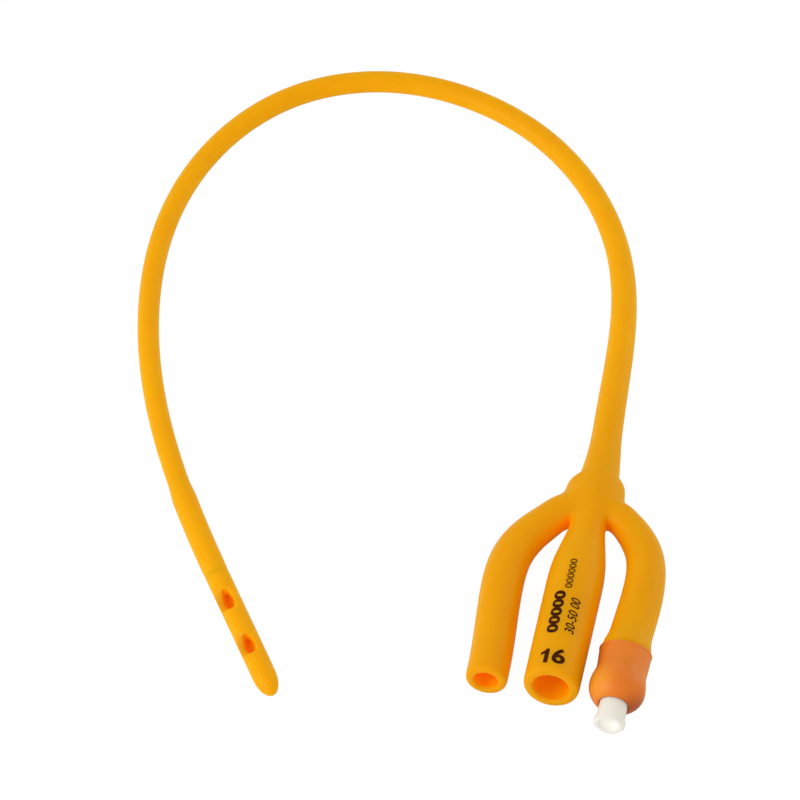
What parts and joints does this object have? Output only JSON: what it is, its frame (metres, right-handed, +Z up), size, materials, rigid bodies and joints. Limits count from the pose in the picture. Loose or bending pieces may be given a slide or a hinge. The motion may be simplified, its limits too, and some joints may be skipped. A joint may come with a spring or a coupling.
{
  "type": "three-way urinary balloon catheter",
  "caption": "Three-way urinary balloon catheter: curved latex shaft with rounded eyed tip, retention balloon, moulded junction with drainage, irrigation and valved inflation arms.",
  "frame": {"origin": "middle of the bounding box, on the table that the catheter lies on", "axes": "+Z up from the table, the drainage funnel's mouth faces -Y, and the shaft's bend lies on the -X side"},
  "size_m": [0.1466, 0.1902, 0.0142],
  "materials": {
    "amber_latex": "satin, slightly translucent amber latex",
    "balloon_latex": "thin satin latex",
    "junction_latex": "satin moulded latex with dark brown print",
    "orange_rubber": "soft satin orange rubber",
    "milky_plastic": "milky translucent moulded polypropylene",
    "plunger_plastic": "ivory moulded plastic",
    "retainer_plastic": "white moulded plastic",
    "seal_rubber": "matt black rubber",
    "spring_steel": "drawn stainless wire"
  },
  "bodies": {
    "catheter": {"shaft": "amber_latex", "balloon": "balloon_latex", "three_way_junction": "junction_latex", "valve_sleeve": "orange_rubber", "valve_body": "milky_plastic", "valve_retainer": "retainer_plastic", "valve_spring": "spring_steel"},
    "plunger": {"valve_plunger": "plunger_plastic", "valve_seal": "seal_rubber"}
  },
  "joints": [
    {"name": "valve_plunger_slide", "type": "slide", "parent": "catheter", "child": "plunger", "axis": [0, 1, 0], "range_m": [0, 0.0015], "stiffness_N_per_m": 100, "springref_m": -0.003, "deforming": ["valve_spring"]}
  ]
}
